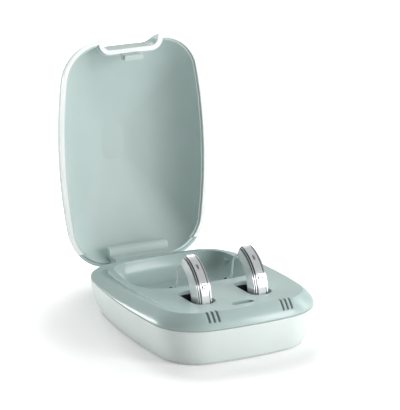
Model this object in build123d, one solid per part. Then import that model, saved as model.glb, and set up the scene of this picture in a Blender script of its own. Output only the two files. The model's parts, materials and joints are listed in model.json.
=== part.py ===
from build123d import *
import math
import os

# Lower body, millimetres, floor at z = 0, lid hinge at the back (+Y)
half_width = 43.0
half_depth = 54.0
side_bow_radius = 260.0
end_bow_radius = 185.0
corner_radius = 23.0
floor_inset = 5.0
pad_inset = 7.3
pad_thickness = 1.2
pad_stand_off = 0.6
floor_top = 3.0
seam_drop = 5.3
seam_gap = 0.3
wall = 2.0

# Upper housing: the deck slopes down to the back, the ledge round it a little more
top_inset = 5.0
deck_height = 23.3
deck_slope = 2.5
ledge_slope = 3.8
flush_back = 16.0
lip_inset = 8.3
lip_wall = 4.2
bowl_wall = 1.6
solid_back = 25.0
basin_inset = 11.0
basin_back = 47.0
basin_corner = 17.0
basin_clearance = 0.8

# Pockets for the two aids
pocket_x = 14.6
pocket_back = 29.0
pocket_width = 11.6
pocket_length = 23.4
pocket_corner = 5.0
pocket_depth = 10.8
cup_wall = 1.2

# Catch recess and lid catch
catch_back = 11.6
catch_width = 10.0
catch_thickness = 2.4
catch_reach = 3.0
catch_side_gap = 0.7
recess_depth = 4.0
recess_wall = 1.2
magnet_length = 8.0
magnet_width = 3.0
magnet_thickness = 2.0

# Light slits in the front edge
slit_group_x = 18.8
slit_pitch = 2.3
slit_width = 1.1
slit_drop = 4.0
slit_back = 2.2
guide_reach = 3.2
guide_drop = 2.25
guide_rise = 0.35
guide_thickness = 0.9
lamp_size = 0.8

# Hinge
hinge_reach = 6.3
hinge_drop = 11.2
pin_radius = 1.0
pin_play = 0.05
knuckle_radius = 2.4
lobe_half_width = 16.0
ear_width = 5.6
ear_gap = 0.4

# Lid, drawn closed and then swung open
lid_side_inset = 3.0
lid_front_inset = 1.0
lid_overhang = 8.2
lid_corner = 21.3
lid_height = 30.0
lid_roundness = 2.5
lid_wall = 1.5
liner_gap = 0.3
liner_wall = 1.2
rim_width = 2.2
rim_thickness = 1.2
ledge_gap = 0.3
open_angle = 90.2
scoop_half_width = 14.0
scoop_flare = 2.2
scoop_depth = 6.2
scoop_corner = 4.0
heel_length = 9.0
shelf_length = 10.0
shelf_height = 4.0
arm_thickness = 3.4

# Hearing aids, side view in the frame of the deck
foot_lead = 4.85
bend_z = -0.8
bend_radius = 17.0
aid_lean = 7.5
bend_angle = 66.0
depth_low = 9.2
depth_top = 6.8
foot_gap = 0.3
core_half_width = 2.4
layer_half_width = 3.0
aid_half_width = 3.5
layer_step = 0.35
side_step = 0.9
skin = 1.1
strip_half_width = 1.9
strip_thickness = 0.9
button_length = 3.6
button_width = 2.2
button_turn = 14.0
mic_turn = 42.0
wire_radius = 0.45
wire_end_lift = 8.6
receiver_radius = 1.6
receiver_length = 5.0
dome_radius = 3.1
dome_wall = 0.6
cell_radius = 2.3
cell_thickness = 3.6

# Boards and fasteners
board_lift = 3.3
board_thickness = 1.6
board_gap = 1.5
chip_height = 1.0
board_front_inset = 7.8
board_back_inset = 6.0
board_post_side = 5.0
board_post_inset = 14.0
board_post_radius = 2.4
led_side_inset = 4.0
post_side = 11.6
post_inset = 24.0
post_radius = 2.9
post_top = 11.5
screw_radius = 1.2
screw_head_radius = 2.2
screw_head_height = 1.6
screw_seat = 3.4
screw_top = 16.8
small_screw_radius = 0.8
small_head_radius = 1.7
fit_gap = 0.1
shank_gap = 0.05

# Charging coils and power socket
coil_radius = 5.6
coil_hole_radius = 2.4
coil_thickness = 1.2
ferrite_side = 12.4
ferrite_thickness = 0.8
socket_width = 9.0
socket_length = 8.0
socket_height = 3.2
socket_skin = 0.4
socket_inset = 7.6
socket_bore = 0.35

seam_height = deck_height - seam_drop
hinge_z = deck_height - hinge_drop
board_bottom = floor_top + board_lift
basin_floor = board_bottom + board_thickness + chip_height + basin_clearance + bowl_wall
socket_z = board_bottom - socket_height / 2
flush_y = flush_back - half_depth
basin_front = basin_back - half_depth
pocket_y = pocket_back - half_depth
catch_y = catch_back - half_depth
hinge_y = half_depth + hinge_reach
lid_half_width = half_width - lid_side_inset
lid_front = lid_front_inset - half_depth
lid_half_length = (half_depth + lid_overhang - lid_front) / 2
board_front = board_front_inset - half_depth
board_back = half_depth - board_back_inset
post_x = half_width - post_side
post_y = half_depth - post_inset
board_half_width = post_x - post_radius - board_gap
bend_y = pocket_y - foot_lead + bend_radius * math.cos(math.radians(aid_lean))

slope = math.tan(math.radians(deck_slope))
ledge_fall = math.tan(math.radians(ledge_slope))
ledge_height = deck_height - flush_y * slope + flush_y * ledge_fall
deck_frame = Pos(0, 0, deck_height) * Rot(-deck_slope, 0, 0)
lid_centre = lid_front + lid_half_length
lid_frame = Pos(0, lid_centre, ledge_height + ledge_gap - lid_centre * ledge_fall) * Rot(-ledge_slope, 0, 0)


def outline(inset, width=half_width, depth=half_depth, corner=corner_radius):
    """Plan with four bowed sides and round corners, moved in by inset."""
    side = Circle(side_bow_radius - inset)
    end = Circle(end_bow_radius - inset)
    shape = Pos(width - side_bow_radius, 0) * side
    shape &= Pos(side_bow_radius - width, 0) * side
    shape &= Pos(0, depth - end_bow_radius) * end
    shape &= Pos(0, end_bow_radius - depth) * end
    return fillet(shape.vertices(), corner - inset)


def lid_outline(inset):
    return outline(inset, lid_half_width, lid_half_length, lid_corner)


def block(x0, x1, y0, y1, z0, z1):
    return Pos((x0 + x1) / 2, (y0 + y1) / 2, (z0 + z1) / 2) * Box(x1 - x0, y1 - y0, z1 - z0)


def rod(radius, z0, z1):
    return Pos(0, 0, (z0 + z1) / 2) * Cylinder(radius, z1 - z0)


def cross_rod(radius, x0, x1, y, z):
    return Pos((x0 + x1) / 2, y, z) * Rot(0, 90, 0) * Cylinder(radius, x1 - x0)


def shell_solid(inset, bottom):
    """Tub of the lower body: it widens from the floor up to the seam."""
    sections = []
    for step in (0.0, 0.12, 0.3, 0.55, 0.8, 1.0):
        height = bottom + step * (seam_height - bottom)
        share = (height - pad_stand_off) / (seam_height - pad_stand_off)
        sections.append(Pos(0, 0, height) * outline(inset + floor_inset * (1 - share) ** 2))
    return loft(sections)


def ledge_plane(share, drop, start):
    height = start + share * (ledge_height - drop - start)
    return Pos(0, 0, height) * Rot(-ledge_slope * share, 0, 0)


def bezel_solid(inset, drop, start):
    """Upper housing from the seam to the sloping ledge."""
    sections = []
    for share in (0.0, 0.25, 0.5, 0.75, 1.0):
        sections.append(ledge_plane(share, drop, start) * outline(inset + top_inset * share ** 1.6))
    return loft(sections)


def above_deck(offset=0.0):
    return deck_frame * Pos(0, 0, 30 + offset) * Box(200, 200, 60)


def housing_outer():
    bottom = seam_height + seam_gap
    raised = Pos(0, 0, bottom + 0.6) * extrude(outline(lip_inset), 12)
    return bezel_solid(0, 0, bottom) + raised - above_deck()


def basin_outline(inset):
    shape = outline(basin_inset + inset)
    shape &= Pos(0, basin_front + inset + 50) * Rectangle(200, 100)
    front = shape.vertices().sort_by(Axis.Y)[0:2]
    return fillet(front, basin_corner - inset)


def basin_solid(grow):
    """Bowl behind the pockets, its walls curving in to a level floor."""
    sections = []
    top = deck_height
    for share, inset in ((0.0, 0.0), (0.3, 0.7), (0.6, 2.2), (0.85, 4.8), (1.0, 8.5)):
        height = top + share * (basin_floor - grow - top)
        tilt = Pos(0, 0, height) * Rot(-deck_slope * (1 - share), 0, 0)
        sections.append(tilt * basin_outline(inset - grow))
    return loft(sections)


def pocket_sketch(grow):
    size = RectangleRounded(pocket_width + 2 * grow, pocket_length + 2 * grow, pocket_corner + grow)
    return Pos(0, pocket_y) * size


def slit_positions(side):
    return [side * slit_group_x + (n - 1) * slit_pitch for n in range(3)]


def slit_low():
    return deck_height + (half_depth - top_inset) * slope - slit_drop


def slit_block(x, width, gap):
    back = top_inset - half_depth + slit_back - gap
    return block(x - width / 2, x + width / 2, -half_depth - 6, back, slit_low() + gap, deck_height + 7)


def recess_block(grow, depth):
    half = catch_width / 2 + catch_side_gap + grow
    deep = catch_thickness / 2 + catch_side_gap + grow
    shape = Pos(0, catch_y) * RectangleRounded(2 * half, 2 * deep, deep - 0.05)
    return deck_frame * Pos(0, 0, -depth) * extrude(shape, depth)


def posts():
    return [(x, y) for x in (-post_x, post_x) for y in (-post_y, post_y)]


def board_posts():
    across = board_half_width - board_post_side
    along = half_depth - board_post_inset
    return [(x, y) for x in (-across, across) for y in (-along, along)]


def build_deck_housing():
    behind = block(-half_width, half_width, solid_back, half_depth + 5, 0, deck_height + 10)
    hollow = bezel_solid(wall, wall, seam_height - 1) - behind
    shape = housing_outer() - hollow
    inner_lip = Pos(0, 0, seam_height) * extrude(outline(lip_inset + lip_wall), 12) - above_deck(-wall)
    shape -= inner_lip
    tongue = Pos(0, 0, seam_height - 3.2) * extrude(outline(wall + 0.4) - outline(wall + 1.5), 3.8)
    shape += tongue
    bowl = basin_solid(bowl_wall) - above_deck()
    shape += bowl
    shape -= basin_solid(0)
    shape -= deck_frame * Pos(0, 0, -0.01) * extrude(basin_outline(0), 6)
    for x, y in posts():
        top = ledge_height - y * ledge_fall - 1
        shape += Pos(x, y) * rod(post_radius, post_top, top)
        shape -= Pos(x, y) * rod(screw_radius + shank_gap, post_top - 0.5, screw_top + 0.6)
    for side in (-1, 1):
        shape -= deck_frame * Pos(side * pocket_x, 0, -wall - 1) * extrude(pocket_sketch(0), 9)
        for x in slit_positions(side):
            shape -= slit_block(x, slit_width, 0)
    shape += recess_block(recess_wall, recess_depth + recess_wall)
    shape -= recess_block(0, recess_depth)
    return shape


def build_base_shell():
    shape = shell_solid(0, pad_stand_off) - shell_solid(wall, floor_top)
    shape -= extrude(outline(pad_inset - 0.15), pad_thickness)
    for x, y in posts():
        shape += Pos(x, y) * rod(post_radius, floor_top - 0.5, post_top)
        shape -= Pos(x, y) * rod(screw_radius + 0.2, 0, post_top + 2.5)
        shape -= Pos(x, y) * rod(screw_head_radius + 0.2, 0, screw_seat)
    for x, y in board_posts():
        shape += Pos(x, y) * rod(board_post_radius, floor_top - 0.5, board_bottom)
        shape -= Pos(x, y) * rod(small_screw_radius + shank_gap, floor_top + 0.4, board_bottom + 1)
    for side in (-1, 1):
        x0 = lobe_half_width + ear_gap
        ear = cross_rod(knuckle_radius, x0, x0 + ear_width, hinge_y, hinge_z)
        low = hinge_z - knuckle_radius
        ear += block(x0, x0 + ear_width, half_depth - 2.6, hinge_y, low, hinge_z + knuckle_radius)
        ear -= shell_solid(wall - 0.4, floor_top)
        ear -= cross_rod(pin_radius + pin_play, x0 - 1, x0 + ear_width - 0.8, hinge_y, hinge_z)
        shape += ear if side > 0 else mirror(ear, about=Plane.YZ)
    mouth = Box(socket_width + 0.6, 2 * socket_length, socket_height + 0.7)
    return shape - Pos(0, half_depth - socket_inset + 3.6, socket_z) * mouth


def build_base_pad():
    return extrude(outline(pad_inset), pad_thickness)


def build_pocket_cup(side):
    outer = extrude(pocket_sketch(cup_wall), pocket_depth + cup_wall - wall)
    inner = extrude(pocket_sketch(0.05), pocket_depth)
    cup = Pos(0, 0, -pocket_depth - cup_wall) * outer - Pos(0, 0, -pocket_depth) * inner
    return deck_frame * Pos(side * pocket_x, 0, 0) * cup


def build_charging_coil(side):
    middle = -pocket_depth - cup_wall - coil_thickness / 2
    ring = Cylinder(coil_radius, coil_thickness) - Cylinder(coil_hole_radius, 2 * coil_thickness)
    ring = Pos(0, pocket_y, middle) * ring
    return deck_frame * Pos(side * pocket_x, 0, 0) * ring


def build_ferrite(side):
    middle = -pocket_depth - cup_wall - coil_thickness - ferrite_thickness / 2
    plate = Pos(0, pocket_y, middle) * Box(ferrite_side, ferrite_side, ferrite_thickness)
    return deck_frame * Pos(side * pocket_x, 0, 0) * plate


def build_main_board():
    top = board_bottom + board_thickness
    width = board_half_width
    shape = block(-width, width, board_front, board_back - 6, board_bottom, top)
    shape += block(-12, 12, board_back - 7, board_back, board_bottom, top)
    for x, y in board_posts():
        shape -= Pos(x, y) * rod(small_screw_radius + 0.3, board_bottom - 1, top + 1)
    for x, y, a, b in ((0, -8, 7, 7), (-15, 8, 5, 4), (14, 14, 4, 4), (0, 24, 6, 3)):
        shape += block(x - a / 2, x + a / 2, y - b / 2, y + b / 2, top - 0.1, top + chip_height)
    return shape


def build_board_screws():
    top = board_bottom + board_thickness
    screws = Part()
    for x, y in board_posts():
        shank = rod(small_screw_radius, floor_top + 0.9, top + 0.1)
        screws += Pos(x, y) * (shank + rod(small_head_radius, top, top + 1.0))
    return screws


def build_housing_screws():
    screws = Part()
    for x, y in posts():
        shank = rod(screw_radius, screw_seat - 0.1, screw_top)
        screws += Pos(x, y) * (shank + rod(screw_head_radius, screw_seat - screw_head_height, screw_seat))
    return screws


def build_light_guide(side):
    outer = housing_outer()
    back = -(half_depth - top_inset) + slit_back - fit_gap
    left = side * slit_group_x - guide_reach
    right = left + 2 * guide_reach
    low = slit_low()
    guide = block(left, right, back - guide_thickness, back, low - guide_drop, low + guide_rise)
    for x in slit_positions(side):
        guide += outer & slit_block(x, slit_width - 2 * fit_gap, fit_gap)
    return guide


def build_led_board():
    front = -(half_depth - top_inset) + slit_back + 1.0
    top = board_bottom + board_thickness
    low = slit_low()
    wide = board_half_width - led_side_inset
    board = block(-wide, wide, front, front + 1.0, top, low + guide_rise - 0.2)
    for side in (-1, 1):
        for x in slit_positions(side):
            board += block(x - lamp_size, x + lamp_size, front - lamp_size, front + 0.1, low - 1.9, low - 0.5)
    notch = catch_width / 2 + catch_side_gap + recess_wall - 0.1
    return board - block(-notch, notch, front - 1, front + 2, low - 2.9, low + 2)


def build_usb_socket():
    tunnel = Box(socket_width - 2 * socket_skin, socket_length, socket_height - 2 * socket_skin)
    body = Box(socket_width, socket_length, socket_height) - Pos(0, 2 * socket_skin, 0) * tunnel
    body += Pos(0, -0.5, 0) * Box(socket_width - 2.6, socket_length - 2.2, 2 * socket_bore)
    return Pos(0, half_depth - socket_inset, socket_z) * body


def build_hinge_pin():
    reach = lobe_half_width + ear_gap + ear_width - 1.0
    return cross_rod(pin_radius, -reach, reach, hinge_y, hinge_z)


def build_catch_magnet():
    middle = -recess_depth - recess_wall - magnet_thickness / 2
    return deck_frame * Pos(0, catch_y, middle) * Box(magnet_length, magnet_width, magnet_thickness)


def dome_solid(inset):
    """Lid form: the plan shrinks with height along a circle."""
    height = lid_height - inset
    reach = height + lid_roundness
    foot = math.sqrt(1 - (lid_roundness / reach) ** 2)
    plan = lid_outline(inset)
    sections = [plan]
    for share in (0.14, 0.3, 0.48, 0.66, 0.82, 0.93, 0.985):
        level = share * height
        size = math.sqrt(1 - ((level + lid_roundness) / reach) ** 2) / foot
        sections.append(Pos(0, 0, level) * scale(plan, size))
    return loft(sections)


def scoop_sketch(grow):
    """Thumb scoop in the front edge of the lid."""
    front = -lid_half_length - 4
    floor = -lid_half_length + scoop_depth + grow
    mouth = scoop_half_width + scoop_flare + grow
    low = scoop_half_width + grow
    shape = Polygon((-mouth, front), (mouth, front), (low, floor), (-low, floor), align=None)
    return fillet(shape.vertices().sort_by(Axis.Y)[2:4], scoop_corner + grow)


def scoop_solid(grow, height=40.0):
    return Pos(0, 0, -1) * extrude(scoop_sketch(grow), height)


def shelf_block(grow):
    front = lid_half_length - shelf_length - grow
    back = lid_half_length - lid_wall - 0.2 + grow
    wide = lobe_half_width + grow
    return block(-wide, wide, front, back, -1, shelf_height + grow)


def rim_block(low, high):
    """Room for the rim band: all of the lid's edge but the heel at the hinge."""
    wide = lid_half_width + 5
    return block(-wide, wide, -lid_half_length - 5, lid_half_length - heel_length, low, high)


def build_lid_shell():
    shape = dome_solid(0) - scoop_solid(0)
    shape -= dome_solid(lid_wall) - scoop_solid(lid_wall)
    return shape - rim_block(-1, rim_thickness)


def build_lid_liner():
    gap = lid_wall + liner_gap
    full = gap + liner_wall
    shape = dome_solid(gap) - scoop_solid(gap)
    shape -= dome_solid(full) - scoop_solid(full)
    return shape - shelf_block(0.2) - rim_block(-1, rim_thickness)


def build_lid_rim():
    flat = lid_outline(0.1) - scoop_sketch(0.1)
    inner = lid_outline(rim_width) - scoop_sketch(rim_width)
    band = extrude(flat - inner, rim_thickness)
    wide = lid_half_width + 5
    return band - block(-wide, wide, lid_half_length - heel_length - 0.1, lid_half_length + 5, -1, 5)


def build_lid_catch():
    y = (catch_y - lid_centre) / math.cos(math.radians(ledge_slope))
    half = catch_width / 2
    tab = Pos(0, y, -catch_reach / 2 + 0.6) * Box(catch_width, catch_thickness, catch_reach + 1.2)
    tab = fillet(tab.edges().filter_by(Axis.Z), 0.8)
    foot_front = -lid_half_length + scoop_depth + rim_width + 0.1
    foot = block(-half, half, foot_front, y + 0.8, 0.1, 1.2)
    return tab + foot


def build_hinge_bracket():
    """Shelf screwed into the lid with the arm and lobe down to the hinge."""
    back = lid_half_length - lid_wall - 0.2
    wide = lobe_half_width
    shelf = block(-wide, wide, lid_half_length - shelf_length, back, 0.2, shelf_height)
    shelf = fillet(shelf.edges().filter_by(Axis.X).sort_by(Axis.Y)[0:2].sort_by(Axis.Z)[0], 3.0)
    shelf &= dome_solid(lid_wall + 0.2)
    arm = block(-wide, wide, back - 0.9 - arm_thickness, back - 0.9, -7.0, 1.0)
    solid = lid_frame * (shelf + arm)
    solid -= block(-wide - 1, wide + 1, hinge_y - 20, hinge_y + 20, 0, hinge_z)
    solid += cross_rod(knuckle_radius, -wide, wide, hinge_y, hinge_z)
    return solid - cross_rod(pin_radius + pin_play, -wide - 1, wide + 1, hinge_y, hinge_z)


def swing(solid):
    return solid.rotate(Axis((0, hinge_y, hinge_z), (1, 0, 0)), -open_angle)


def swung(solid):
    return swing(lid_frame * solid)


def radial(turn, reach):
    """Point of the aid's side view, turn degrees along the bend."""
    heading = math.radians(90 - aid_lean - turn)
    return (bend_y - reach * math.sin(heading), bend_z + reach * math.cos(heading))


def aid_profile(inset):
    """Side view of an aid: straight foot in the pocket and a bend back to the wire."""
    half = bend_angle / 2
    low = depth_low / 2 - inset
    mean = (depth_low + depth_top) / 4 - inset
    top = depth_top / 2 - inset
    down = (-math.sin(math.radians(aid_lean)), -math.cos(math.radians(aid_lean)))
    length = foot_length
    front = radial(0, bend_radius + low)
    rear = radial(0, bend_radius - low)
    front_foot = (front[0] + length * down[0], front[1] + length * down[1])
    rear_foot = (rear[0] + length * down[0], rear[1] + length * down[1])
    mid = radial(0, bend_radius)
    deep = length + low * 0.88
    sole = (mid[0] + deep * down[0], mid[1] + deep * down[1])
    end_front = radial(bend_angle - inset * 3, bend_radius + top)
    end_rear = radial(bend_angle - inset * 3, bend_radius - top)
    end_mid = radial(bend_angle + 4 - inset * 3, bend_radius)
    edges = [
        Line(front_foot, front),
        ThreePointArc(front, radial(half, bend_radius + mean), end_front),
        ThreePointArc(end_front, end_mid, end_rear),
        ThreePointArc(end_rear, radial(half, bend_radius - mean), rear),
        Line(rear, rear_foot),
        ThreePointArc(rear_foot, sole, front_foot),
    ]
    return make_face(Wire(edges))


start = radial(0, bend_radius)
foot_reach = start[1] + pocket_depth - foot_gap
foot_length = foot_reach / math.cos(math.radians(aid_lean)) - 0.88 * depth_low / 2


def centred_slab(sketch, half):
    """A side-view sketch (y, z) made solid on both sides of the middle plane."""
    return extrude(Plane.YZ.offset(-half) * sketch, 2 * half)


def aid_frame(turn, reach):
    """Frame on the bend: z outwards from the front face, y along the aid."""
    y, z = radial(turn, reach)
    heading = 90 - aid_lean - turn
    return Pos(0, y, z) * Rot(heading, 0, 0)


def front_reach(turn):
    share = turn / bend_angle
    return bend_radius + (depth_low * (1 - share) + depth_top * share) / 2


def slot(turn, length, width, low, high):
    shape = Rot(0, 0, 90) * SlotOverall(length, width)
    return aid_frame(turn, front_reach(turn)) * Pos(0, 0, low) * extrude(shape, high - low)


def strip_sketch(thickness, grow):
    """Front skin of the side view, from just inside the pocket to near the wire end."""
    low = radial(-14 - grow * 3, 70)
    high = radial(bend_angle - 6 + grow * 3, 70)
    wedge = Polygon((bend_y, bend_z), low, radial(25, 90), high, align=None)
    skin_ring = aid_profile(0) - aid_profile(thickness) - Pos(bend_y, bend_z) * Circle(bend_radius)
    return skin_ring & wedge


def aid_place(side, solid):
    return deck_frame * Pos(side * pocket_x, 0, 0) * solid


def build_aid_housing(side):
    body = centred_slab(aid_profile(0), core_half_width)
    body += centred_slab(aid_profile(layer_step), layer_half_width)
    body += centred_slab(aid_profile(side_step), aid_half_width)
    body -= centred_slab(aid_profile(skin + strip_thickness), core_half_width - 0.3)
    body -= centred_slab(strip_sketch(strip_thickness + 0.05, 0.1), strip_half_width + 0.08)
    body -= slot(button_turn, button_length + 1.4, button_width + 1.2, -2.3, -0.6)
    return aid_place(side, body)


def build_aid_spine(side):
    strip = centred_slab(strip_sketch(strip_thickness, 0), strip_half_width)
    strip -= slot(button_turn, button_length + 0.5, button_width + 0.5, -2, 1)
    strip -= slot(mic_turn, 2.8, 1.0, -2, 1)
    return aid_place(side, strip)


def build_aid_button(side):
    cap = slot(button_turn, button_length, button_width, -1.1, 0.25)
    flange = slot(button_turn, button_length + 0.8, button_width + 0.6, -1.5, -1.05)
    return aid_place(side, cap + flange)


def build_aid_mic_screen(side):
    return aid_place(side, slot(mic_turn, 2.7, 0.9, -0.9, -0.12))


def build_aid_battery(side):
    y, z = radial(0, bend_radius)
    cell = Pos(0, y - 0.4, z - 3.0) * Rot(0, 90, 0) * Cylinder(cell_radius, cell_thickness)
    return aid_place(side, cell)


def port_frame():
    y, z = radial(bend_angle + 1.0, bend_radius)
    return Pos(0, y, z) * Rot(-118, 0, 0)


def build_aid_port(side):
    outer = port_frame() * (Pos(0, 0, 1.3) * Cylinder(1.35, 2.6) + Pos(0, 0, 2.6) * Cylinder(0.95, 1.0))
    return aid_place(side, outer - centred_slab(aid_profile(0), aid_half_width + 1))


def wire_points():
    frame = port_frame()
    first = (frame * Pos(0, 0, 3.1)).position
    end = basin_floor - deck_height + wire_end_lift
    droop = ((7.4, end + 11.5), (10.0, end + 2.8), (14.0, end))
    return [first] + [Vector(0, bend_y + y, z) for y, z in droop]


def build_aid_wire(side):
    points = wire_points()
    path = Spline(*points, tangents=[(0, 0.9, -0.42), (0, 0.6, -0.8)])
    section = Plane(origin=points[0], z_dir=path % 0) * Circle(wire_radius)
    return aid_place(side, sweep(section, path=path))


def receiver_frame():
    tip = wire_points()[-1]
    return Pos(0, tip.Y, tip.Z) * Rot(-143, 0, 0)


def build_aid_receiver(side):
    body = Pos(0, 0, 2.6) * Cylinder(receiver_radius, receiver_length)
    nose = Pos(0, 0, receiver_length + 0.8) * Cylinder(0.9, 1.6)
    return aid_place(side, receiver_frame() * (body + nose))


def build_aid_dome(side):
    """Soft ear dome: a hollow cap on the nose of the receiver."""
    ball = Sphere(dome_radius) - Sphere(dome_radius - dome_wall)
    ball -= Pos(0, 0, -dome_radius - 0.6) * Box(12, 12, 2 * dome_radius)
    ball += Pos(0, 0, 1.0) * (Cylinder(1.5, 4.2) - Cylinder(0.95, 6))
    return aid_place(side, receiver_frame() * Pos(0, 0, 6.25) * ball)


def save(name, solid):
    solid.label = name
    export_step(solid, "parts/" + name + ".step")


os.makedirs("parts", exist_ok=True)
save("base_pad", build_base_pad())
save("base_shell", build_base_shell())
save("deck_housing", build_deck_housing())
save("main_board", build_main_board())
save("board_screws", build_board_screws())
save("housing_screws", build_housing_screws())
save("led_board", build_led_board())
save("usb_socket", build_usb_socket())
save("hinge_pin", build_hinge_pin())
save("catch_magnet", build_catch_magnet())
save("lid_shell", swung(build_lid_shell()))
save("lid_liner", swung(build_lid_liner()))
save("lid_rim", swung(build_lid_rim()))
save("lid_catch", swung(build_lid_catch()))
save("hinge_bracket", swing(build_hinge_bracket()))
for name, side in (("left", -1), ("right", 1)):
    save("pocket_cup_" + name, build_pocket_cup(side))
    save("charging_coil_" + name, build_charging_coil(side))
    save("ferrite_" + name, build_ferrite(side))
    save("light_guide_" + name, build_light_guide(side))
    save("aid_" + name + "_housing", build_aid_housing(side))
    save("aid_" + name + "_spine", build_aid_spine(side))
    save("aid_" + name + "_button", build_aid_button(side))
    save("aid_" + name + "_mic_screen", build_aid_mic_screen(side))
    save("aid_" + name + "_battery", build_aid_battery(side))
    save("aid_" + name + "_port", build_aid_port(side))
    save("aid_" + name + "_wire", build_aid_wire(side))
    save("aid_" + name + "_receiver", build_aid_receiver(side))
    save("aid_" + name + "_dome", build_aid_dome(side))
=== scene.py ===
import json
import math

import bpy
from bpy.props import FloatProperty, FloatVectorProperty, IntProperty, PointerProperty
from mathutils import Matrix, Vector


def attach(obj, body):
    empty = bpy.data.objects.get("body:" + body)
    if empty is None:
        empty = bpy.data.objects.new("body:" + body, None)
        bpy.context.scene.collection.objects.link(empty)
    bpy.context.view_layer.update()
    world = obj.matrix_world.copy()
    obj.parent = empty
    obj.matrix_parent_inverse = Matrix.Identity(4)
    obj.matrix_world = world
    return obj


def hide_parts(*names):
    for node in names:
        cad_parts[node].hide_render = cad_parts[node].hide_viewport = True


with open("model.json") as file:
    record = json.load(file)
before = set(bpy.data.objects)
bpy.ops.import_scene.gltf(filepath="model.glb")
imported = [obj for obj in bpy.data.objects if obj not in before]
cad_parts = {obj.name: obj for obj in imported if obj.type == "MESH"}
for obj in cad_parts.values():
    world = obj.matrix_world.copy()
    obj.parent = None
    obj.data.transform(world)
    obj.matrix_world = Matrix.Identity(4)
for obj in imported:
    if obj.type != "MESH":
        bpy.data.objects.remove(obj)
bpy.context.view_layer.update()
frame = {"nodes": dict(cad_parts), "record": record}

bl_info = {
    "name": "Hearing aid charger",
    "version": (1, 0, 0),
    "blender": (4, 5, 0),
    "location": "3D View > Sidebar > Charger",
    "description": "Builds the looks of a hearing aid charger with two aids",
    "category": "Object",
}

MM = 0.001
WHITE = (1.0, 1.0, 1.0, 1.0)
SIDES = ("left", "right")

# CAD nodes that get rounded edges, and those that belong to the inside of the lid
EDGED = ("deck_housing", "base_shell", "lid_shell", "lid_rim", "lid_catch")
INSIDE = ("lid_liner", "hinge_bracket", "lid_catch")
WELD_GAP = 0.002 * MM
SHARP_ANGLE = math.radians(38)

# Sizes of the CAD part that the patterns and added details follow. The aid's lean and the turn from
# its foot to the button are in degrees.
DECK_HEIGHT = 23.3 * MM
DECK_SLOPE = math.radians(2.5)
POCKET_X = 14.6 * MM
POCKET_Y = -25.0 * MM
COIL_TOP = -12.0 * MM
COIL_INNER = 2.4 * MM
COIL_OUTER = 5.6 * MM
BOARD_TOP = 7.9 * MM
FOOT_Y = -29.855 * MM
BEND_Z = -0.8 * MM
BEND_RADIUS = 17.0 * MM
AID_LEAN = 7.5
BUTTON_TURN = 14.0
BUTTON_REACH = 4.35 * MM

# Aids: top of the white film, which is also a painted highlight of the button, joints of the layers from the
# middle plane, and the button's ring
PANEL_TOP = 27.6 * MM
STRIP_JOINT = 2.2 * MM
LAYER_JOINT = 3.02 * MM
BUTTON_LIFT = 0.25 * MM
RING_HALF_WIDTH = 0.95 * MM
RING_HALF_LENGTH = 0.72 * MM

# Small parts on the main board: the middles of their fields in millimetres, a field's places and
# size, and a part's size, middle height over the board and chance of filling its place
BOARD_FIELDS = ((-14, -24), (14, -24), (-10, 32), (10, 32))
FIELD_PLACES = (5, 4)
FIELD_SIZE = (13 * MM, 10 * MM)
FIRST_SEED = 3
CHIP_SIZE = (1.6 * MM, 0.8 * MM, 0.5 * MM)
CHIP_LIFT = 0.24 * MM
CHIP_SHARE = 0.6

# Half the table's side and the point that the lights aim at, in metres
TABLE_REACH = 3.0
LIGHT_AIM = Vector((0, 0.02, 0.04))

# Name, place in metres, width, height and power in watts of each light
LIGHTS = (
    ("key", (0.62, -0.85, 0.32), 0.35, 0.7, 7.0),
    ("top", (0.2, 0.75, 0.95), 0.6, 0.6, 7.5),
    ("side", (1.0, -0.1, 0.3), 0.3, 0.9, 3.0),
    ("edge", (-0.75, 0.75, 0.16), 0.5, 0.3, 6.0),
)

# Camera of the photograph: turn and lift in radians, distance, shift and raise in metres, focal
# length and picture height in pixels, sensor in millimetres
CAMERA_TURN = 0.4696
CAMERA_LIFT = 0.3069
CAMERA_DISTANCE = 1.1
CAMERA_SHIFT = 0.000196
CAMERA_RAISE = 0.056965
FOCAL_PIXELS = 2312.08
PICTURE_HEIGHT = 410
SENSOR = 36.0


def srgb(code):
    """Linear colour with alpha from a hex code."""
    parts = [int(code[i:i + 2], 16) / 255 for i in (0, 2, 4)]
    linear = [part / 12.92 if part <= 0.04045 else ((part + 0.055) / 1.055) ** 2.4 for part in parts]
    return (*linear, 1.0)


def colour(name, text, code):
    """Colour property from a hex code."""
    kind = {"subtype": "COLOR", "size": 4, "min": 0, "max": 1}
    return FloatVectorProperty(name=name, description=text, default=srgb(code), **kind)


def size(name, text, value, low, high):
    """Length property from values in millimetres."""
    limits = {"min": low * MM, "max": high * MM}
    return FloatProperty(name=name, description=text, unit="LENGTH", default=value * MM, **limits)


class CHARGER_PG_colours(bpy.types.PropertyGroup):
    """Colours a user would change."""
    mint: colour("Mint", "Pale green of the deck and the lid", "B2C8C4")
    white: colour("White", "Lower shell of the base", "E6EFEC")
    # The bowl's green is the deck's mint painted lighter: painted light standing in for the light that falls
    # into the lid's bowl.
    inside: colour("Inside", "Pale green of the lid's bowl", "C4D4D1")
    # The rim's white is the shell's white ABS painted lighter: painted light standing in for the light that
    # falls on the rim, which faces the front.
    rim: colour("Rim", "White band round the lid's edge", "FAFDFC")
    silver: colour("Silver", "Lacquer of the aids", "D6DADB")
    # Below the button this pale colour is also a painted highlight of the button's shine.
    panel: colour("Front strip", "Glossy strip and button of the aids", "E6E9EA")
    pocket: colour("Pocket", "Inside of the pockets", "141516")
    table: colour("Table", "Floor under the charger", "F4F5F5")


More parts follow.
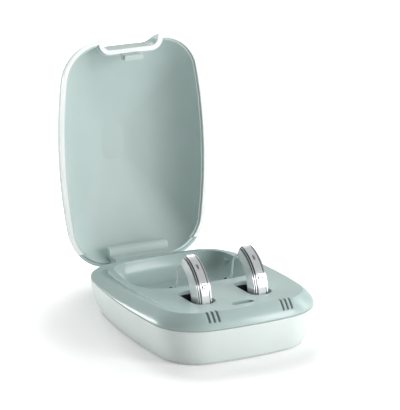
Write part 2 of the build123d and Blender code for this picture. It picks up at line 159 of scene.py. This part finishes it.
class CHARGER_PG_sizes(bpy.types.PropertyGroup):
    """Sizes of the details that the CAD part leaves to this file."""
    peel: size("Orange peel", "Distance between the ripples of the gloss mouldings", 2.4, 0.2, 20)
    edge: size("Edge radius", "Radius put on the sharp edges of the mouldings", 0.18, 0.0, 1)
    wire: size("Coil wire", "Diameter of the charging coil's wire", 0.3, 0.1, 1)
    layers: IntProperty(name="Coil layers", description="Layers of wire in a coil", default=3, min=1, max=4)
    ring: size("Ring width", "Width of the oval ring pressed into the button", 0.38, 0.05, 1)


# Node trees

class Nodes:
    """Adds nodes to the tree of a material, of the world or of Geometry Nodes."""

    def __init__(self, tree):
        self.tree = tree

    def add(self, kind, links=None, **values):
        """New node with its settings, and with links given as input: (source node, its output)."""
        node = self.tree.nodes.new(kind)
        for key, value in values.items():
            if hasattr(node, key):
                setattr(node, key, value)
            else:
                node.inputs[key.replace("_", " ")].default_value = value
        for key, (source, output) in (links or {}).items():
            self.join(source, output, node, key)
        return node

    def join(self, source, output, target, entry):
        self.tree.links.new(source.outputs[output], target.inputs[entry])


# Materials

class Net(Nodes):
    """Material with a Principled shader and patterns that are measured in metres."""

    def __init__(self, name):
        self.material = bpy.data.materials.get(name) or bpy.data.materials.new(name)
        self.material.use_nodes = True
        super().__init__(self.material.node_tree)
        self.tree.nodes.clear()
        self.shader = self.add("ShaderNodeBsdfPrincipled")
        self.add("ShaderNodeOutputMaterial", {"Surface": (self.shader, "BSDF")})
        self.place = self.add("ShaderNodeTexCoord")

    def set(self, **values):
        for key, value in values.items():
            self.shader.inputs[key.replace("_", " ")].default_value = value
        return self

    def pattern(self, kind, spacing, **values):
        """Texture whose ripples, cells or squares lie about spacing metres apart."""
        where = {"Vector": (self.place, "Object")}
        return self.add("ShaderNodeTex" + kind, where, Scale=1 / spacing, **values)

    def tint_by(self, source, output, low, high, first, second):
        """Colours the surface from first to second over the pattern's values low to high."""
        node = self.add("ShaderNodeValToRGB", {"Fac": (source, output)})
        ends = node.color_ramp.elements
        ends[0].position = low
        ends[1].position = high
        ends[0].color = first
        ends[1].color = second
        self.join(node, "Color", self.shader, "Base Color")
        return node

    def roughen_by(self, source, output, low, high):
        """Varies the roughness from low to high with the pattern."""
        node = self.add("ShaderNodeMapRange", {"Value": (source, output)}, To_Min=low, To_Max=high)
        self.join(node, "Result", self.shader, "Roughness")
        return self

    def raise_by(self, source, output, depth):
        """Gives the pattern's relief, depth metres high, over what the surface has already."""
        node = self.add("ShaderNodeBump", {"Height": (source, output)}, Distance=depth, Strength=1.0)
        if self.shader.inputs["Normal"].links:
            before = self.shader.inputs["Normal"].links[0].from_node
            self.join(before, "Normal", node, "Normal")
        self.join(node, "Normal", self.shader, "Normal")
        return self


def shade(base, factor):
    """The colour made darker or lighter."""
    return (*[part * factor for part in base[:3]], 1.0)


def satin_moulding(name, base):
    """Vapour-blasted mould: the same plastic, but the light spreads into one broad soft sheen.

    The blasted grain is drawn coarser than the real one, so that it shows.
    """
    net = Net(name).set(IOR=1.53, Sheen_Weight=0.1, Sheen_Roughness=0.4)
    clouds = net.pattern("Noise", 14 * MM, Detail=3)
    net.tint_by(clouds, "Fac", 0.3, 0.7, shade(base, 0.98), base)
    net.roughen_by(net.pattern("Noise", 6 * MM, Detail=3), "Fac", 0.5, 0.6)
    return net.raise_by(net.pattern("Noise", 0.25 * MM), "Fac", 0.0008 * MM).material


def gloss_moulding(name, base, peel):
    """Polished mould: a faint ripple bends the reflections and fine wear softens them in patches."""
    net = Net(name).set(IOR=1.53, Coat_Weight=0.3, Coat_Roughness=0.12, Coat_IOR=1.5)
    clouds = net.pattern("Noise", 14 * MM, Detail=3)
    net.tint_by(clouds, "Fac", 0.3, 0.7, shade(base, 0.975), base)
    net.roughen_by(net.pattern("Noise", 5 * MM, Detail=4, Roughness=0.6), "Fac", 0.3, 0.42)
    return net.raise_by(net.pattern("Noise", peel, Detail=1), "Fac", 0.006 * MM).material


def spark_moulding(name, base):
    """Eroded mould: a fine even grain makes the black look soft and drinks most of the light."""
    net = Net(name).set(IOR=1.5)
    grain = net.pattern("Noise", 0.22 * MM, Detail=3, Roughness=0.7)
    net.tint_by(grain, "Fac", 0.35, 0.7, shade(base, 0.7), shade(base, 1.5))
    net.roughen_by(grain, "Fac", 0.42, 0.62)
    return net.raise_by(grain, "Fac", 0.02 * MM).material


def across_aid(net):
    """Distance from the middle plane of the nearer aid, in metres."""
    split = net.add("ShaderNodeSeparateXYZ", {"Vector": (net.place, "Object")})
    side = net.add("ShaderNodeMath", {0: (split, "X")}, operation="ABSOLUTE")
    off = net.add("ShaderNodeMath", {0: (side, "Value")}, operation="SUBTRACT")
    off.inputs[1].default_value = POCKET_X
    return net.add("ShaderNodeMath", {0: (off, "Value")}, operation="ABSOLUTE")


def seam_mask(net, distance, place, width):
    """One on a line where the distance has the given value, falling to zero at both sides of it."""
    away = net.add("ShaderNodeMath", {0: (distance, "Value")}, operation="SUBTRACT")
    away.inputs[1].default_value = place
    gap = net.add("ShaderNodeMath", {0: (away, "Value")}, operation="ABSOLUTE")
    ends = {"From_Min": width * 0.35, "From_Max": width * 0.65, "To_Min": 1.0, "To_Max": 0.0}
    return net.add("ShaderNodeMapRange", {"Value": (gap, "Value")}, **ends)


def lacquer(name, base):
    """Sprayed metallic lacquer: fine flakes glint under a clear coat, with dark joints between the layers.

    The flakes are drawn coarser than real ones, so that they show.
    """
    net = Net(name).set(Metallic=0.6, Coat_Weight=0.8, Coat_Roughness=0.05)
    flakes = net.pattern("Voronoi", 0.09 * MM)
    tint = net.tint_by(flakes, "Distance", 0.0, 0.7, shade(base, 1.12), shade(base, 0.9))
    off = across_aid(net)
    inner = seam_mask(net, off, STRIP_JOINT, 0.5 * MM)
    outer = seam_mask(net, off, LAYER_JOINT, 0.2 * MM)
    both = net.add("ShaderNodeMath", {0: (inner, "Result"), 1: (outer, "Result")}, operation="MAXIMUM")
    # On colours, the mix's inputs are 0 for the share and 6 and 7 for the two colours, its output is 2
    mix = net.add("ShaderNodeMix", {0: (both, "Value"), 6: (tint, "Color")}, data_type="RGBA")
    mix.inputs[7].default_value = shade(base, 0.1)
    net.join(mix, 2, net.shader, "Base Color")
    net.roughen_by(flakes, "Distance", 0.14, 0.28)
    return net.raise_by(net.pattern("Noise", 1.1 * MM, Detail=1), "Fac", 0.003 * MM).material


def glossy_cover(name, base):
    """Polished nylon: sharp reflections that waver a little on an even colour."""
    net = Net(name).set(Base_Color=base, IOR=1.54, Coat_Weight=0.7, Coat_Roughness=0.03)
    net.roughen_by(net.pattern("Noise", 2 * MM, Detail=3), "Fac", 0.1, 0.18)
    return net.raise_by(net.pattern("Noise", 1.6 * MM, Detail=1), "Fac", 0.002 * MM).material


def strip_with_painted_highlight(name, low, high, height):
    """Acrylic strip: a white film shines under it below the button, silver lacquer above; the white below the
    button is also a painted highlight of the button's shine.
    """
    net = Net(name).set(IOR=1.54, Coat_Weight=0.7, Coat_Roughness=0.03)
    split = net.add("ShaderNodeSeparateXYZ", {"Vector": (net.place, "Object")})
    ends = {"From_Min": height - 0.15 * MM, "From_Max": height + 0.15 * MM}
    share = net.add("ShaderNodeMapRange", {"Value": (split, "Z")}, **ends)
    # The pale colour below the split is also a painted highlight of the button.
    net.tint_by(share, "Result", 0.0, 1.0, low, high)
    shine = net.add("ShaderNodeMath", {0: (share, "Result")}, operation="MULTIPLY")
    shine.inputs[1].default_value = 0.45
    net.join(shine, "Value", net.shader, "Metallic")
    net.roughen_by(net.pattern("Noise", 2 * MM, Detail=3), "Fac", 0.12, 0.22)
    return net.raise_by(net.pattern("Noise", 1.6 * MM, Detail=1), "Fac", 0.002 * MM).material


def plated(name, base, rough, grain):
    """Plated steel: turned or stamped marks run one way and stretch the highlight."""
    net = Net(name).set(Metallic=1.0, Base_Color=base)
    stretch = net.add("ShaderNodeMapping", {"Vector": (net.place, "Object")})
    stretch.inputs["Scale"].default_value = (1.0, 1.0, 12.0)
    marks = net.add("ShaderNodeTexNoise", {"Vector": (stretch, "Vector")}, Scale=1 / grain, Detail=3)
    net.roughen_by(marks, "Fac", rough * 0.7, rough * 1.3)
    return net.raise_by(marks, "Fac", 0.004 * MM).material


def rubber(name, base):
    """Moulded rubber: dull, with a grip pattern of small squares."""
    net = Net(name).set(IOR=1.52)
    grid = net.pattern("Checker", 0.8 * MM, Color1=shade(base, 0.8), Color2=shade(base, 1.2))
    net.join(grid, "Color", net.shader, "Base Color")
    net.roughen_by(net.pattern("Noise", 3 * MM, Detail=4), "Fac", 0.65, 0.85)
    net.raise_by(grid, "Fac", 0.03 * MM)
    return net.raise_by(net.pattern("Noise", 0.3 * MM, Detail=3), "Fac", 0.01 * MM).material


def silicone(name, base):
    """Clear silicone or nylon: light goes through the thin wall and the skin looks a little dusty."""
    net = Net(name).set(Base_Color=base, IOR=1.41, Transmission_Weight=0.45)
    net.set(Subsurface_Weight=0.3, Subsurface_Scale=0.8 * MM)
    net.roughen_by(net.pattern("Noise", 1 * MM, Detail=4), "Fac", 0.32, 0.5)
    return net.raise_by(net.pattern("Noise", 0.4 * MM), "Fac", 0.004 * MM).material


def light_plastic(name, base):
    """Smoked light guide with its lamps off: dark and even, with a soft skin."""
    net = Net(name).set(Base_Color=base, IOR=1.58)
    net.roughen_by(net.pattern("Noise", 0.5 * MM, Detail=3), "Fac", 0.35, 0.5)
    return net.raise_by(net.pattern("Noise", 0.3 * MM), "Fac", 0.002 * MM).material


def solder_mask(name, base):
    """Circuit board: copper tracks show as lighter bands under the green mask."""
    net = Net(name).set(IOR=1.5, Coat_Weight=0.4, Coat_Roughness=0.15)
    tints = {"Color1": base, "Color2": shade(base, 0.85), "Mortar": shade(base, 2.4)}
    tracks = net.pattern("Brick", 6 * MM, Mortar_Size=0.06, Mortar_Smooth=0.1, **tints)
    net.join(tracks, "Color", net.shader, "Base Color")
    net.roughen_by(tracks, "Fac", 0.35, 0.25)
    return net.raise_by(tracks, "Fac", 0.03 * MM).material


def enamelled_copper(name, base):
    """Magnet wire: copper under clear enamel, darker in patches."""
    net = Net(name).set(Metallic=1.0, Coat_Weight=0.6, Coat_Roughness=0.1)
    patches = net.pattern("Noise", 1.5 * MM, Detail=3)
    net.tint_by(patches, "Fac", 0.35, 0.7, shade(base, 0.7), base)
    net.roughen_by(patches, "Fac", 0.22, 0.32)
    return net.raise_by(net.pattern("Noise", 0.3 * MM), "Fac", 0.003 * MM).material


def sintered(name, base):
    """Pressed ferrite: matt dark grey with pores and paler crystals."""
    net = Net(name).set(IOR=2.0)
    cells = net.pattern("Voronoi", 0.5 * MM)
    net.tint_by(cells, "Distance", 0.1, 0.8, shade(base, 1.5), shade(base, 0.6))
    net.roughen_by(cells, "Distance", 0.5, 0.75)
    return net.raise_by(cells, "Distance", 0.02 * MM).material


def woven_mesh(name, base):
    """Fine wire mesh over the microphone: the holes between the wires are painted near black, as painted
    shade of the hollow behind them.

    The weave is drawn coarser than the real one, so that it shows.
    """
    net = Net(name).set(Metallic=0.8)
    holes = net.pattern("Voronoi", 0.16 * MM, Randomness=0.0)
    # The holes are painted near black: painted shade of the hollow behind the mesh.
    net.tint_by(holes, "Distance", 0.25, 0.5, (0.002, 0.002, 0.002, 1.0), base)
    net.roughen_by(holes, "Distance", 0.6, 0.3)
    return net.raise_by(holes, "Distance", 0.03 * MM).material


def make_materials():
    """Every finish of the CAD pieces, by its slot or, where a slot has two, by its own name."""
    hue = bpy.context.scene.charger_colours
    sizes = bpy.context.scene.charger_sizes
    return {
        "mint_gloss": gloss_moulding("Pale green ABS, polished injection mould", tuple(hue.mint), sizes.peel),
        # The lid's bowl is the deck's mint painted lighter, as painted light, with a satin finish.
        "mint_satin": satin_moulding("Pale green ABS, vapour-blasted mould", tuple(hue.inside)),
        # The rim is the shell's white ABS painted lighter, as painted light.
        "rim_gloss": gloss_moulding("Bright white ABS, polished injection mould", tuple(hue.rim), sizes.peel),
        "white_gloss": gloss_moulding("White ABS, polished injection mould", tuple(hue.white), sizes.peel),
        "black_plastic": spark_moulding("Black polycarbonate, spark-eroded mould", tuple(hue.pocket)),
        "silver_plastic": lacquer("Nylon with sprayed silver lacquer", tuple(hue.silver)),
        "aid_white": strip_with_painted_highlight(
            "White film under polished acrylic", tuple(hue.panel), tuple(hue.silver), PANEL_TOP
        ),
        "steel": plated("Zinc-plated steel, cold headed", srgb("A9ABAF"), 0.34, 0.5 * MM),
        "bright_steel": plated("Nickel-plated steel, drawn", srgb("C9C7C2"), 0.2, 0.8 * MM),
        "rubber_pad": rubber("Black TPE, compression moulded", srgb("26282A")),
        "silicone": silicone("Clear silicone, liquid moulded", srgb("D4D8DA")),
        "wire_sleeve": silicone("Clear nylon sleeve over litz wire, extruded", srgb("D9E0E1")),
        "dark_plastic": glossy_cover("Dark grey nylon, polished", srgb("3A3D40")),
        "light_guide": light_plastic("Smoked polycarbonate light guide", srgb("4E5F5C")),
        "circuit_board": solder_mask("Glass-epoxy board with green mask", srgb("1E5B36")),
        "copper": enamelled_copper("Enamelled copper wire, wound", srgb("C46A3A")),
        "ferrite": sintered("Sintered ferrite", srgb("3C3D40")),
        "mesh": woven_mesh("Stainless mesh, woven", srgb("8C9094")),
    }


# Geometry helpers

def clean_edges(obj, radius):
    """Welds the imported triangles and rounds the sharp edges, so that they catch the light."""
    weld = obj.modifiers.new("weld", "WELD")
    weld.merge_threshold = WELD_GAP
    bevel = obj.modifiers.new("edges", "BEVEL")
    bevel.width = radius
    bevel.segments = 3
    bevel.limit_method = "ANGLE"
    bevel.angle_limit = SHARP_ANGLE
    bevel.harden_normals = True
    bevel.use_clamp_overlap = True


def paint(obj, material):
    """Gives the object this material alone."""
    obj.data.materials.clear()
    obj.data.materials.append(material)


def slots_by_node():
    """Material slot of each CAD node, from the record."""
    return {row["node"]: row["material_slot"] for row in frame["record"]["subparts"]}


class CHARGER_OT_finish_nodes(bpy.types.Operator):
    """Give every CAD node its moulded, plated or printed material"""
    bl_idname = "charger.finish_nodes"
    bl_label = "Finish the CAD pieces"

    def execute(self, context):
        materials = make_materials()
        special = {"lid_rim": "rim_gloss"} | dict.fromkeys(INSIDE, "mint_satin")
        for node, slot in slots_by_node().items():
            # The shelf of the hinge is seen as the end of the lid's bowl, and has its plastic
            slot = "mint_gloss" if node == "hinge_bracket" else slot
            obj = frame["nodes"][node]
            paint(obj, materials[special.get(node, slot)])
            if node in EDGED:
                clean_edges(obj, context.scene.charger_sizes.edge)
        return {"FINISHED"}


# Geometry Nodes: what repeats

class Tree(Nodes):
    """Geometry Nodes tree with named inputs."""

    def __init__(self, name, **inputs):
        super().__init__(bpy.data.node_groups.new(name, "GeometryNodeTree"))
        panel = self.tree.interface
        panel.new_socket("Geometry", in_out="OUTPUT", socket_type="NodeSocketGeometry")
        for key, value in inputs.items():
            kind = "NodeSocketInt" if isinstance(value, int) else "NodeSocketFloat"
            kind = "NodeSocketMaterial" if isinstance(value, bpy.types.Material) else kind
            panel.new_socket(key, in_out="INPUT", socket_type=kind).default_value = value
        self.entry = self.add("NodeGroupInput")

    def end(self, source, output):
        """Realizes the instances, smooths them, sets the material and closes the tree."""
        real = self.add("GeometryNodeRealizeInstances", {"Geometry": (source, output)})
        smooth = self.add("GeometryNodeSetShadeSmooth", {"Geometry": (real, "Geometry")})
        links = {"Geometry": (smooth, "Geometry"), "Material": (self.entry, "Material")}
        painted = self.add("GeometryNodeSetMaterial", links)
        self.add("NodeGroupOutput", {"Geometry": (painted, "Geometry")})
        return self.tree


def grow(group, name, matrix):
    """Turns a tree into a plain mesh object with its place in the mesh."""
    seed = bpy.data.objects.new("seed", bpy.data.meshes.new("seed"))
    bpy.context.scene.collection.objects.link(seed)
    modifier = seed.modifiers.new("tree", "NODES")
    modifier.node_group = group
    for item in group.interface.items_tree:
        if item.in_out == "INPUT":
            modifier[item.identifier] = item.default_value
    graph = bpy.context.evaluated_depsgraph_get()
    mesh = bpy.data.meshes.new_from_object(seed.evaluated_get(graph), depsgraph=graph)
    bpy.data.objects.remove(seed)
    material = mesh.materials[-1]
    mesh.materials.clear()
    mesh.materials.append(material)
    mesh.polygons.foreach_set("material_index", [0] * len(mesh.polygons))
    mesh.name = name
    mesh.transform(matrix)
    obj = bpy.data.objects.new(name, mesh)
    bpy.context.scene.collection.objects.link(obj)
    return obj


def deck_matrix():
    """Frame of the sloping deck: Z is its normal."""
    return Matrix.Translation((0, 0, DECK_HEIGHT)) @ Matrix.Rotation(-DECK_SLOPE, 4, "X")


def coil_tree(material, wire, layers, inner, outer):
    """One flat spiral of round wire, stacked in layers."""
    turns = (outer - inner) / wire
    sizes = {"Wire": wire, "Layers": layers, "Inner": inner, "Outer": outer, "Turns": turns}
    tree = Tree("Coil winding", **sizes, Material=material)
    links = {"Rotations": "Turns", "Start Radius": "Inner", "End Radius": "Outer"}
    links = {entry: (tree.entry, name) for entry, name in links.items()}
    spiral = tree.add("GeometryNodeCurveSpiral", links, Resolution=36, Height=0.0)
    half = tree.add("ShaderNodeMath", {0: (tree.entry, "Wire")}, operation="MULTIPLY")
    half.inputs[1].default_value = 0.5
    section = tree.add("GeometryNodeCurvePrimitiveCircle", {"Radius": (half, "Value")}, Resolution=8)
    links = {"Curve": (spiral, "Curve"), "Profile Curve": (section, "Curve")}
    turn = tree.add("GeometryNodeCurveToMesh", links)
    turn.inputs["Fill Caps"].default_value = True
    step = tree.add("ShaderNodeCombineXYZ", {"Z": (tree.entry, "Wire")})
    line = tree.add("GeometryNodeMeshLine", {"Count": (tree.entry, "Layers"), "Offset": (step, "Vector")})
    stack = tree.add("GeometryNodeInstanceOnPoints", {"Points": (line, "Mesh"), "Instance": (turn, "Mesh")})
    return tree.end(stack, "Instances")


class CHARGER_OT_coils(bpy.types.Operator):
    """Wind the charging coils turn by turn under the pockets"""
    bl_idname = "charger.coils"
    bl_label = "Charging coils"

    def execute(self, context):
        sizes = context.scene.charger_sizes
        copper = bpy.data.materials["Enamelled copper wire, wound"]
        for side, sign in zip(SIDES, (-1, 1)):
            wire = sizes.wire
            group = coil_tree(copper, wire, sizes.layers, COIL_INNER + wire / 2, COIL_OUTER - wire / 2)
            lift = COIL_TOP - wire * (sizes.layers - 0.5)
            place = deck_matrix() @ Matrix.Translation((sign * POCKET_X, POCKET_Y, lift))
            coil = grow(group, "coil_winding_" + side, place)
            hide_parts("charging_coil_" + side)
            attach(coil, "base")
        return {"FINISHED"}


def chip_tree(material, seed, columns, rows, width, depth):
    """Small parts scattered over a board on a grid, some places left empty."""
    sizes = {"Seed": seed, "Columns": columns, "Rows": rows, "Width": width, "Depth": depth}
    tree = Tree("Board parts", **sizes, Material=material)
    links = {"Vertices X": "Columns", "Vertices Y": "Rows", "Size X": "Width", "Size Y": "Depth"}
    links = {entry: (tree.entry, name) for entry, name in links.items()}
    grid = tree.add("GeometryNodeMeshGrid", links)
    body = tree.add("GeometryNodeMeshCube", Size=CHIP_SIZE)
    # A random whole number has inputs 4 and 5 as its limits and output 2, a random choice output 3
    pick = tree.add("FunctionNodeRandomValue", {"Seed": (tree.entry, "Seed")}, data_type="BOOLEAN")
    pick.inputs["Probability"].default_value = CHIP_SHARE
    turn = tree.add("FunctionNodeRandomValue", {"Seed": (tree.entry, "Seed")}, data_type="INT")
    turn.inputs[4].default_value = 0
    turn.inputs[5].default_value = 1
    quarter = tree.add("ShaderNodeMath", {0: (turn, 2)}, operation="MULTIPLY")
    quarter.inputs[1].default_value = math.pi / 2
    angle = tree.add("ShaderNodeCombineXYZ", {"Z": (quarter, "Value")})
    links = {"Points": (grid, "Mesh"), "Instance": (body, "Mesh")}
    links |= {"Selection": (pick, 3), "Rotation": (angle, "Vector")}
    parts = tree.add("GeometryNodeInstanceOnPoints", links)
    return tree.end(parts, "Instances")


class CHARGER_OT_board_parts(bpy.types.Operator):
    """Scatter small soldered parts over the free fields of the main board"""
    bl_idname = "charger.board_parts"
    bl_label = "Board parts"

    def execute(self, context):
        ferrite = bpy.data.materials["Sintered ferrite"]
        for number, (x, y) in enumerate(BOARD_FIELDS):
            group = chip_tree(ferrite, FIRST_SEED + number, *FIELD_PLACES, *FIELD_SIZE)
            place = Matrix.Translation((x * MM, y * MM, BOARD_TOP + CHIP_LIFT))
            parts = grow(group, "board_parts_%d" % (number + 1), place)
            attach(parts, "base")
        return {"FINISHED"}


def add_mesh(name, points, faces, material, matrix):
    """Smooth mesh object with its place in the mesh."""
    mesh = bpy.data.meshes.new(name)
    mesh.from_pydata(points, [], faces)
    mesh.transform(matrix)
    mesh.polygons.foreach_set("use_smooth", [True] * len(mesh.polygons))
    mesh.materials.append(material)
    obj = bpy.data.objects.new(name, mesh)
    bpy.context.scene.collection.objects.link(obj)
    return obj


def button_matrix(sign):
    """Frame on top of the button: Z away from the aid, Y along it."""
    heading = math.radians(90 - AID_LEAN - BUTTON_TURN)
    reach = BEND_RADIUS + BUTTON_REACH
    bend_y = FOOT_Y + BEND_RADIUS * math.cos(math.radians(AID_LEAN))
    y = bend_y - reach * math.sin(heading)
    place = Matrix.Translation((sign * POCKET_X, y, BEND_Z + reach * math.cos(heading)))
    lift = Matrix.Translation((0, 0, BUTTON_LIFT))
    return deck_matrix() @ place @ Matrix.Rotation(heading, 4, "X") @ lift


def ring_mesh(half_x, half_y, tube, around=48, section=10):
    """Oval ring of round section in the XY plane."""
    points = []
    faces = []
    for step in range(around):
        angle = 2 * math.pi * step / around
        here = step * section
        ahead = (step + 1) % around * section
        for corner in range(section):
            tilt = 2 * math.pi * corner / section
            out = tube * math.cos(tilt)
            x = (half_x + out) * math.cos(angle)
            y = (half_y + out) * math.sin(angle)
            points.append((x, y, tube * math.sin(tilt)))
            above = (corner + 1) % section
            faces.append((here + corner, ahead + corner, ahead + above, here + above))
    return points, faces


class CHARGER_OT_button_rings(bpy.types.Operator):
    """Press a dark oval ring into the top of each aid's button"""
    bl_idname = "charger.button_rings"
    bl_label = "Button rings"

    def execute(self, context):
        tube = context.scene.charger_sizes.ring / 2
        dark = glossy_cover("Black nylon ring, polished", srgb("17191B"))
        for side, sign in zip(SIDES, (-1, 1)):
            points, faces = ring_mesh(RING_HALF_WIDTH, RING_HALF_LENGTH, tube)
            ring = add_mesh("button_ring_" + side, points, faces, dark, button_matrix(sign))
            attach(ring, "button_" + side)
        return {"FINISHED"}


# Stage

def table_finish(base):
    """Matt white paper: the lens sees it brighter away from the charger, as an overexposed sweep."""
    net = Net("Matt white paper sweep")
    net.set(Base_Color=base, Roughness=0.9, Specular_IOR_Level=0.05, Emission_Color=WHITE)
    net.raise_by(net.pattern("Noise", 0.5 * MM), "Fac", 0.01 * MM)
    away = net.add("ShaderNodeVectorMath", {"Vector": (net.place, "Object")}, operation="LENGTH")
    ends = {"From_Min": 0.07, "From_Max": 0.22, "To_Min": 0.22, "To_Max": 1.0}
    lift = net.add("ShaderNodeMapRange", {"Value": (away, "Value")}, **ends)
    path = net.add("ShaderNodeLightPath")
    seen = net.add("ShaderNodeMath", {0: (lift, "Result"), 1: (path, "Is Camera Ray")}, operation="MULTIPLY")
    net.join(seen, "Value", net.shader, "Emission Strength")
    return net.material


def studio_world():
    """Grey room, darker on the left, with a white backdrop for the lens alone."""
    world = bpy.data.worlds.new("studio")
    world.use_nodes = True
    net = Nodes(world.node_tree)
    room = net.tree.nodes["Background"]
    room.inputs["Color"].default_value = WHITE
    way = net.add("ShaderNodeTexCoord")
    split = net.add("ShaderNodeSeparateXYZ", {"Vector": (way, "Generated")})
    ends = {"From_Min": -0.9, "From_Max": 0.6, "To_Min": 0.1, "To_Max": 0.5}
    fall = net.add("ShaderNodeMapRange", {"Value": (split, "X")}, **ends)
    net.join(fall, "Result", room, "Strength")
    drop = net.add("ShaderNodeBackground", Color=WHITE)
    path = net.add("ShaderNodeLightPath")
    links = {"Fac": (path, "Is Camera Ray"), 1: (room, "Background"), 2: (drop, "Background")}
    mix = net.add("ShaderNodeMixShader", links)
    net.join(mix, "Shader", net.tree.nodes["World Output"], "Surface")
    return world


def add_light(name, place, width, height, power):
    """Rectangular lamp turned to the charger's middle."""
    data = bpy.data.lights.new(name, "AREA")
    data.shape = "RECTANGLE"
    data.size = width
    data.size_y = height
    data.energy = power
    lamp = bpy.data.objects.new(name, data)
    bpy.context.scene.collection.objects.link(lamp)
    lamp.location = place
    aim = LIGHT_AIM - Vector(place)
    lamp.rotation_mode = "QUATERNION"
    lamp.rotation_quaternion = aim.to_track_quat("-Z", "Y")


def make_camera(scene):
    """Camera of the photograph: front left, a little above the table."""
    turn = CAMERA_TURN
    lift = CAMERA_LIFT
    back = Vector((-math.sin(turn) * math.cos(lift), -math.cos(turn) * math.cos(lift), math.sin(lift)))
    right = Vector((math.cos(turn), -math.sin(turn), 0))
    up = Vector((math.sin(turn) * math.sin(lift), math.cos(turn) * math.sin(lift), math.cos(lift)))
    data = bpy.data.cameras.new("camera")
    data.sensor_width = SENSOR
    data.lens = FOCAL_PIXELS * SENSOR / PICTURE_HEIGHT
    data.clip_start = 0.05
    data.clip_end = 20
    camera = bpy.data.objects.new("camera", data)
    scene.collection.objects.link(camera)
    camera.location = back * CAMERA_DISTANCE - right * CAMERA_SHIFT + up * CAMERA_RAISE
    camera.rotation_mode = "QUATERNION"
    camera.rotation_quaternion = (-back).to_track_quat("-Z", "Y")
    scene.camera = camera


class CHARGER_OT_stage(bpy.types.Operator):
    """Add the pale table, the studio lights and the camera of the photograph"""
    bl_idname = "charger.stage"
    bl_label = "Stage"

    def execute(self, context):
        scene = context.scene
        table = bpy.data.meshes.new("table")
        corners = [(x * TABLE_REACH, y * TABLE_REACH, 0) for x, y in ((-1, -1), (1, -1), (1, 1), (-1, 1))]
        table.from_pydata(corners, [], [(0, 1, 2, 3)])
        floor = bpy.data.objects.new("table", table)
        scene.collection.objects.link(floor)
        table.materials.append(table_finish(tuple(scene.charger_colours.table)))
        for light in LIGHTS:
            add_light(*light)
        scene.world = studio_world()
        make_camera(scene)
        scene.view_settings.view_transform = "Standard"
        return {"FINISHED"}


class CHARGER_PT_panel(bpy.types.Panel):
    """Lists the colours, sizes and steps in the sidebar of the 3D view"""
    bl_idname = "CHARGER_PT_panel"
    bl_label = "Hearing aid charger"
    bl_space_type = "VIEW_3D"
    bl_region_type = "UI"
    bl_category = "Charger"

    def draw(self, context):
        for group in (context.scene.charger_colours, context.scene.charger_sizes):
            for key in group.__annotations__:
                self.layout.prop(group, key)
        for step in STEPS:
            self.layout.operator(step.bl_idname)


STEPS = (
    CHARGER_OT_finish_nodes,
    CHARGER_OT_coils,
    CHARGER_OT_board_parts,
    CHARGER_OT_button_rings,
    CHARGER_OT_stage,
)
CLASSES = (CHARGER_PG_colours, CHARGER_PG_sizes, *STEPS, CHARGER_PT_panel)


def register():
    for cls in CLASSES:
        bpy.utils.register_class(cls)
    bpy.types.Scene.charger_colours = PointerProperty(type=CHARGER_PG_colours)
    bpy.types.Scene.charger_sizes = PointerProperty(type=CHARGER_PG_sizes)


def unregister():
    del bpy.types.Scene.charger_sizes
    del bpy.types.Scene.charger_colours
    for cls in reversed(CLASSES):
        bpy.utils.unregister_class(cls)


def main():
    """Builds the looks on the CAD frame."""
    register()
    for step in STEPS:
        group, name = step.bl_idname.split(".")
        getattr(getattr(bpy.ops, group), name)()


if __name__ == "__main__":
    main()
